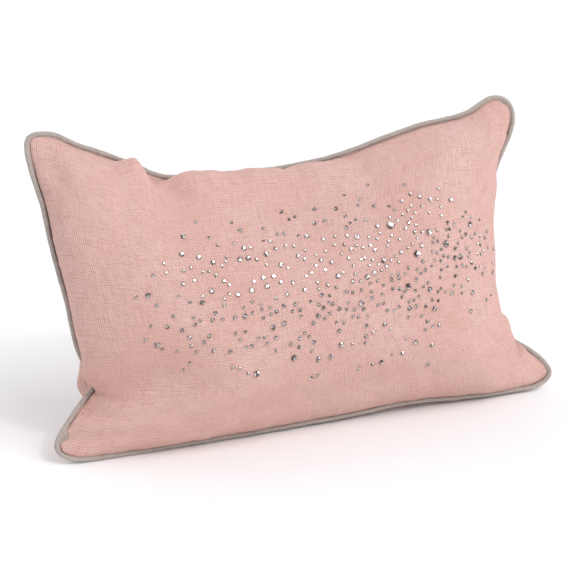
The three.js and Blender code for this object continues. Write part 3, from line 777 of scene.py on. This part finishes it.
def uneven(count, spacing, amount):
    """A smooth random wander round a closed path."""
    along = np.arange(count) * spacing
    total = count * spacing
    wander = np.zeros(count)
    for turns in (round(total / 95), round(total / 41), round(total / 17)):
        wander += np.sin(along / total * 2 * np.pi * turns + rng.random() * 7) * rng.uniform(0.5, 1)
    return amount * wander / 2


def make_piping():
    """The grey bias strip round its filler cord, all round the seam."""
    spacing = 2     # of the seam's points
    path = seam + (PIPING_OFFSET + uneven(len(seam), spacing, 0.25)[:, None]) * seam_away
    path += uneven(len(seam), spacing, 0.3)[:, None] * seam_front
    path[:, 2] = np.maximum(path[:, 2], PIPING_RADIUS + 0.1)
    thick = 1 + uneven(len(seam), spacing, 0.05)
    section = casing_section()
    rings = path[:, None] + (sweep(path, section) - path[:, None]) * thick[:, None, None]
    length = np.concatenate([[0], np.cumsum(np.linalg.norm(np.diff(path, axis=0), axis=1))])
    girth = np.arange(len(section)) / len(section) * 2 * np.pi * PIPING_RADIUS
    uv = np.stack(np.broadcast_arrays(length[:, None], girth[None]), axis=2)
    casing = mesh_object("piping", rings, ring_faces(len(path), len(section)), uv=uv)
    casing.data.materials.append(piping_cotton)
    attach(casing, "cushion")
    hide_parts("piping_casing")
    round_cord = circle(FILLER_RADIUS, 10)
    filler = mesh_object("piping_filler", sweep(path, round_cord), ring_faces(len(path), len(round_cord)))
    filler.data.materials.append(filler_cotton)
    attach(filler, "cushion")
    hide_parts("piping_cord")


make_piping()


# ---------------------------------------------------------------- inner pad
def corner_triangles(index):
    """The grid's cells as triangles, cut so that each corner of the grid belongs to two of them."""
    quads = grid_faces(index).reshape(index.shape[0] - 1, index.shape[1] - 1, 4)
    i, j = np.meshgrid(*[np.arange(n) < n / 2 for n in quads.shape[:2]], indexing="ij")
    turned = np.where((i == j)[..., None], quads, np.roll(quads, 1, axis=2)).reshape(-1, 4)
    return np.vstack([turned[:, [0, 1, 2]], turned[:, [0, 2, 3]]])


def make_pad():
    """The stuffed inner pad, which fills the cover and stops short of its seams."""
    trim = 12
    inner = slice(trim, -trim)
    front, back = front_cloth[inner, inner][::2, ::2], back_cloth[inner, inner][::2, ::2]
    across = back - front
    gap = np.linalg.norm(across, axis=2, keepdims=True)
    inset = np.minimum(PAD_CLEAR / np.maximum(gap, 1e-6), 0.5)
    front_pad, back_pad = front + across * inset, back - across * inset
    middle = (front_pad + back_pad) / 2
    index_front = np.arange(front_pad.shape[0] * front_pad.shape[1]).reshape(front_pad.shape[:2])
    index_back = index_front.copy()
    inside = (slice(1, -1), slice(1, -1))
    inner_points = np.arange(back_pad[inside][..., 0].size)
    index_back[inside] = index_front.size + inner_points.reshape(front_pad.shape[0] - 2, -1)
    for edge in (np.s_[0], np.s_[-1], np.s_[:, 0], np.s_[:, -1]):
        front_pad[edge] = middle[edge]
    points = np.vstack([front_pad.reshape(-1, 3), back_pad[inside].reshape(-1, 3)])
    faces = np.vstack([corner_triangles(index_front), corner_triangles(index_back)[:, ::-1]])
    pad = mesh_object("inner_pad", points, faces)
    pad.data.materials.append(filler_cotton)
    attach(pad, "cushion")
    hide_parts("insert_case_front", "insert_case_back", "fibre_fill")


make_pad()


# ---------------------------------------------------------------- crystals
def stone_density(x, v):
    """How thickly the stones lie at a place on the face, across and up the seam plane."""
    # Each heap of stones: its middle, its half width and half height, and how thick it is
    heaps = [(62, 140, 50, 34, 1.0), (110, 150, 45, 40, 0.45), (10, 130, 65, 50, 0.5),
             (-60, 125, 60, 48, 0.32), (-125, 118, 38, 48, 0.26), (150, 140, 28, 34, 0.5),
             (95, 165, 9, 40, 1.2), (40, 112, 40, 14, 0.9)]
    total = sum(weight * np.exp(-((x - cx) / wide) ** 2 - ((v - cv) / high) ** 2)
                for cx, cv, wide, high, weight in heaps)
    limit = np.clip(1.25 - ((x - 8) / 192) ** 2 - ((v - 130) / 82) ** 2, 0, 1)
    return np.minimum(total, 1.2) * np.minimum(limit * 3, 1)


def place_stones():
    """Where each stone sits: its point on the face, the way it faces and its radius."""
    normals = grid_normals(front_cloth)
    flat_x = (front_cloth - foot) @ ACROSS
    flat_v = (front_cloth - foot) @ UPWARD
    points, facing, radii = [], [], []

    def seat(x, v, radius):
        nearest = np.argmin((flat_x - x) ** 2 + (flat_v - v) ** 2)
        i, j = np.unravel_index(nearest, flat_x.shape)
        points.append(front_cloth[i, j] + normals[i, j] * 0.05)
        facing.append(normals[i, j])
        radii.append(radius)

    for k in range(1, CAD_STONES + 1):
        low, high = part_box(f"crystal_{k:02d}")
        middle = np.array(tuple((low + high) / 2 / MM)) - foot
        seat(middle @ ACROSS, middle @ UPWARD, (high.x - low.x) / MM / 2)
    kept = [((p - foot) @ ACROSS, (p - foot) @ UPWARD, r) for p, r in zip(points, radii)]
    for _ in range(STONE_TRIES):
        x, v = rng.uniform(-185, 200), rng.uniform(40, 212)
        size = rng.random()
        radius = 1.5 if size < 0.6 else 1.85 if size < 0.9 else 2.35
        threshold = rng.random()
        room = rng.uniform(0.9, 3.5)
        if len(kept) >= STONE_COUNT:
            break
        if threshold > stone_density(x, v):
            continue
        if any((x - a) ** 2 + (v - b) ** 2 < (radius + c + room) ** 2 for a, b, c in kept):
            continue
        kept.append((x, v, radius))
        seat(x, v, radius)
    return np.array(points), np.array(facing), np.array(radii)


def setting_tree(name, make_piece, flat_faces):
    """A tree that sets a small piece on each point, its Z along the point's facing, its X along its run."""
    tree = bpy.data.node_groups.new(name, "GeometryNodeTree")
    for socket, kind in (("Geometry", "Geometry"), ("Length", "Float"), ("Width", "Float"),
                         ("Height", "Float"), ("Finish", "Material")):
        tree.interface.new_socket(socket, in_out="INPUT", socket_type=f"NodeSocket{kind}")
    tree.interface.new_socket("Geometry", in_out="OUTPUT", socket_type="NodeSocketGeometry")
    given = tree.nodes.new("NodeGroupInput").outputs
    piece = make_piece(tree)
    size = add(tree, "ShaderNodeCombineXYZ", {"X": given["Length"], "Y": given["Width"],
                                              "Z": given["Height"]})
    sized = add(tree, "GeometryNodeTransform", {"Geometry": piece, "Scale": size.outputs[0]})
    facing = add(tree, "GeometryNodeInputNamedAttribute", {"Name": "facing"}, data_type="FLOAT_VECTOR")
    run = add(tree, "GeometryNodeInputNamedAttribute", {"Name": "run"}, data_type="FLOAT_VECTOR")
    scale = add(tree, "GeometryNodeInputNamedAttribute", {"Name": "scale"}, data_type="FLOAT")
    upright = add(tree, "FunctionNodeAlignRotationToVector", {"Vector": facing.outputs[0]}, axis="Z")
    turned = add(tree, "FunctionNodeAlignRotationToVector",
                 {"Rotation": upright.outputs[0], "Vector": run.outputs[0]}, axis="X", pivot_axis="Z")
    placed = add(tree, "GeometryNodeInstanceOnPoints",
                 {"Points": given["Geometry"], "Instance": sized.outputs[0],
                  "Rotation": turned.outputs[0], "Scale": scale.outputs[0]})
    real = add(tree, "GeometryNodeRealizeInstances", {"Geometry": placed.outputs[0]})
    # A random value on each face, which the crystals' finish turns into painted reflection, dark, grey or
    # bright per facet
    chance = add(tree, "FunctionNodeRandomValue", {"Seed": 5}, data_type="FLOAT")
    shaded = add(tree, "GeometryNodeStoreNamedAttribute", {"Geometry": real.outputs[0], "Name": "painted_facet_reflection",
                                                           "Value": chance.outputs[1]},
                 data_type="FLOAT", domain="FACE")
    smooth = add(tree, "GeometryNodeSetShadeSmooth", {"Geometry": shaded.outputs[0],
                                                      "Shade Smooth": not flat_faces})
    done = add(tree, "GeometryNodeSetMaterial", {"Geometry": smooth.outputs[0], "Material": given["Finish"]})
    add(tree, "NodeGroupOutput", {"Geometry": done.outputs[0]})
    return tree


def cut_stone(tree):
    """A stone of nearly unit radius: a flat foot, a girdle and a crown row of facets, and a flat table."""
    ball = add(tree, "GeometryNodeMeshUVSphere", {"Segments": 8, "Rings": 5, "Radius": 1.05})
    place = add(tree, "GeometryNodeInputPosition").outputs[0]
    topped = add(tree, "ShaderNodeVectorMath", {0: place, 1: (2, 2, 0.8)}, operation="MINIMUM").outputs[0]
    footed = add(tree, "ShaderNodeVectorMath", {0: topped, 1: (-2, -2, -0.3)}, operation="MAXIMUM").outputs[0]
    flat = add(tree, "GeometryNodeSetPosition", {"Geometry": ball.outputs["Mesh"], "Position": footed})
    seated = add(tree, "GeometryNodeTransform", {"Geometry": flat.outputs[0], "Translation": (0, 0, 0.3)})
    return seated.outputs[0]


def thread_stitch(tree):
    """A stitch of unit length and unit thickness, rounded, lying along X."""
    stitch = add(tree, "GeometryNodeMeshUVSphere", {"Segments": 8, "Rings": 6, "Radius": 0.5})
    return stitch.outputs["Mesh"]


def coil_loop(tree):
    """One loop of a zip's coil, of unit half width and height, standing across X."""
    ring = add(tree, "GeometryNodeCurvePrimitiveCircle", {"Resolution": 10, "Radius": 1.0}, mode="RADIUS")
    wire = add(tree, "GeometryNodeCurvePrimitiveCircle", {"Resolution": 6, "Radius": 0.22}, mode="RADIUS")
    loop = add(tree, "GeometryNodeCurveToMesh", {"Curve": ring.outputs[0], "Profile Curve": wire.outputs[0]})
    standing = add(tree, "GeometryNodeTransform", {"Geometry": loop.outputs[0],
                                                   "Rotation": (0, math.radians(90), math.radians(6))})
    return standing.outputs[0]


def grow(name, seed_object, tree, **values):
    """The mesh that a node tree makes from an object, as a new plain object; the seed is removed."""
    modifier = seed_object.modifiers.new(tree.name, "NODES")
    modifier.node_group = tree
    for item in tree.interface.items_tree:
        if item.in_out == "INPUT" and item.name in values:
            modifier[item.identifier] = values[item.name]
    graph = bpy.context.evaluated_depsgraph_get()
    mesh = bpy.data.meshes.new_from_object(seed_object.evaluated_get(graph), depsgraph=graph)
    bpy.data.objects.remove(seed_object)
    mesh.name = name
    return new_object(name, mesh)


def set_pieces(name, tree, points, facing, run, scale, **sizes):
    """A mesh with one small piece on each point, given in millimetres."""
    seats = mesh_object("seats", points, [])
    count = len(seats.data.vertices)
    for layer_name, kind, key, values in (("facing", "FLOAT_VECTOR", "vector", facing),
                                          ("run", "FLOAT_VECTOR", "vector", run),
                                          ("scale", "FLOAT", "value", scale)):
        layer = seats.data.attributes.new(layer_name, kind, "POINT")
        width = 3 if key == "vector" else 1
        layer.data.foreach_set(key, np.broadcast_to(values, (count, width)).ravel())
    return grow(name, seats, tree, **sizes)


def make_crystals():
    """The scatter of stones on the face, as one mesh."""
    points, facing, radii = place_stones()
    run = unit(rng.normal(size=facing.shape))
    tree = setting_tree("set_stones", cut_stone, flat_faces=True)
    crystals = set_pieces("crystals", tree, points, facing, run, radii[:, None] * MM,
                          Length=1.0, Width=1.0, Height=0.75, Finish=crystal_glass)
    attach(crystals, "cushion")
    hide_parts(*[f"crystal_{k:02d}" for k in range(1, CAD_STONES + 1)])


make_crystals()


# ---------------------------------------------------------------- zip
def on_zip(along, up, out):
    """Points in the zip's own frame, in millimetres."""
    along, up, out = np.broadcast_arrays(*[np.asarray(a, float) for a in (along, up, out)])
    return (zip_origin + along.reshape(-1, 1) * zip_along + up.reshape(-1, 1) * zip_up
            + out.reshape(-1, 1) * zip_out)


def eased_copy(node, body, finish, easing):
    """The CAD piece with its sharp edges eased, as casting, pressing or folding leaves them."""
    mesh = frame["nodes"][node].data.copy()
    work = bmesh.new()
    work.from_mesh(mesh)
    bmesh.ops.remove_doubles(work, verts=work.verts, dist=1e-6)
    bmesh.ops.dissolve_limit(work, angle_limit=math.radians(1), verts=work.verts, edges=work.edges)
    work.to_mesh(mesh)
    work.free()
    mesh.materials.clear()
    mesh.materials.append(finish)
    piece = new_object(f"{node}_eased", mesh)
    edge = piece.modifiers.new("easing", "BEVEL")
    edge.width = easing * MM
    edge.segments = 2
    edge.limit_method = "ANGLE"
    edge.angle_limit = math.radians(30)
    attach(piece, body)
    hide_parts(node)


def make_coils():
    """Two nylon coils whose loops lie between each other."""
    low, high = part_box("zip_coil_upper")
    half = (high.x - low.x) / MM / 2
    from_middle = 1.25
    tree = setting_tree("wind_coil", coil_loop, flat_faces=False)
    for side, name in ((1, "upper"), (-1, "lower")):
        along = np.arange(-half + COIL_PITCH, half - COIL_PITCH, COIL_PITCH) + (side + 1) / 4 * COIL_PITCH
        points = on_zip(along, side * from_middle, -ZIP_PROUD)
        coil = set_pieces(f"coil_{name}", tree, points, zip_out, zip_along, MM,
                          Length=1.0, Width=1.35, Height=0.62, Finish=zip_nylon)
        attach(coil, "cushion")
        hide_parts(f"zip_coil_{name}")


def make_zip_stitches():
    """The lockstitch down both sides of the zip, and a bar tack across each of its ends."""
    tree = setting_tree("sew_stitches", thread_stitch, flat_faces=False)
    along = np.arange(-ZIP_HALF, ZIP_HALF, STITCH_PITCH) + STITCH_PITCH / 2
    beside = [on_zip(along, side * (SLOT_HALF_WIDTH + 2.3), 0.1) for side in (1, -1)]
    sewn = set_pieces("zip_stitches", tree, np.vstack(beside), zip_out, zip_along, MM,
                      Length=2.5, Width=0.45, Height=0.4, Finish=stitch_polyester)
    across = np.arange(-4.5, 5, 0.9)
    bars = [on_zip(end * (ZIP_HALF + 1.5), across, 0.15) for end in (-1, 1)]
    tacks = set_pieces("zip_bar_tacks", tree, np.vstack(bars), zip_out, zip_along, MM,
                       Length=3.6, Width=0.5, Height=0.5, Finish=stitch_polyester)
    for piece in (sewn, tacks):
        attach(piece, "cushion")


make_coils()
make_zip_stitches()
for node, body, slot, finish, easing in (
        ("zip_tape_upper", "cushion", "zip_tape", zip_twill, 0.12),
        ("zip_tape_lower", "cushion", "zip_tape", zip_twill, 0.12),
        ("top_stop_upper", "cushion", "zip_metal", zip_zinc, 0.3),
        ("top_stop_lower", "cushion", "zip_metal", zip_zinc, 0.3),
        ("bottom_stop", "cushion", "zip_metal", zip_zinc, 0.3),
        ("zip_slider", "zip_slider", "zip_metal", zip_zinc, 0.25),
        ("zip_pull", "zip_pull", "zip_metal", zip_zinc, 0.3),
        ("care_label", "cushion", "label_cloth", label_satin, 0.1)):
    eased_copy(node, body, finish, easing)


# ---------------------------------------------------------------- floor and light
def make_studio():
    """A pale table that bends up into a backdrop all round, and broad soft light."""
    table_reach, bend_radius, wall_reach, wall_height = 5000, 1500, 6500, 2600
    bend = [(table_reach + bend_radius * math.sin(a), bend_radius - bend_radius * math.cos(a))
            for a in np.linspace(0, math.pi / 2, 13)]
    profile = [(1500, 0), *bend, (wall_reach, wall_height)]
    spokes = 96
    around = np.arange(spokes) / spokes * 2 * np.pi
    rings = [[(r * math.cos(a), r * math.sin(a), z) for a in around] for r, z in profile]
    steps = np.arange(len(profile) - 1)[:, None] * spokes
    here = steps + np.arange(spokes)
    ahead = steps + np.roll(np.arange(spokes), -1)
    wall = np.stack([here, here + spokes, ahead + spokes, ahead], axis=-1).reshape(-1, 4).tolist()
    floor = mesh_object("table_top", sum(rings, []), wall)
    middle = mesh_object("table_middle", rings[0], [list(range(spokes))])

    # Coated paper: near white and matt, with hardly any gloss
    def pale(tree):
        place = add(tree, "ShaderNodeTexCoord").outputs["Object"]
        grain = add(tree, "ShaderNodeTexNoise", {"Vector": place, "Scale": grains(16.7), "Detail": 2.0})
        rough = add(tree, "ShaderNodeMapRange", {"Value": grain.outputs["Fac"], "To Min": 0.75,
                                                 "To Max": 0.9})
        return {"Base Color": colour("#fbfaf9"), "Roughness": rough.outputs[0], "Specular IOR Level": 0.1}

    paper = surface("paper_matt_coated", pale)
    for part in (floor, middle):
        part.data.materials.append(paper)
    world = bpy.data.worlds.new("studio")
    bpy.context.scene.world = world
    world.use_nodes = True
    background = world.node_tree.nodes["Background"]
    background.inputs["Color"].default_value = colour("#f6f8ff")
    background.inputs["Strength"].default_value = 0.62

    def lamp(name, kind, place, power, **settings):
        data = bpy.data.lights.new(name, kind)
        data.energy = power
        for setting, value in settings.items():
            setattr(data, setting, value)
        light = bpy.data.objects.new(name, data)
        light.location = Vector(place) * MM
        toward = Vector((0, 0, 120)) * MM - light.location
        light.rotation_euler = toward.to_track_quat("-Z", "Y").to_euler()
        bpy.context.scene.collection.objects.link(light)

    lamp("key", "SUN", (900, -1000, 1400), 1.4, angle=math.radians(50))
    lamp("back", "SUN", (-500, 1300, 1300), 0.7, angle=math.radians(60))
    lamp("glint", "AREA", (500, -1300, 1500), 5, size=0.12)


make_studio()
bpy.context.scene.view_settings.view_transform = "Standard"
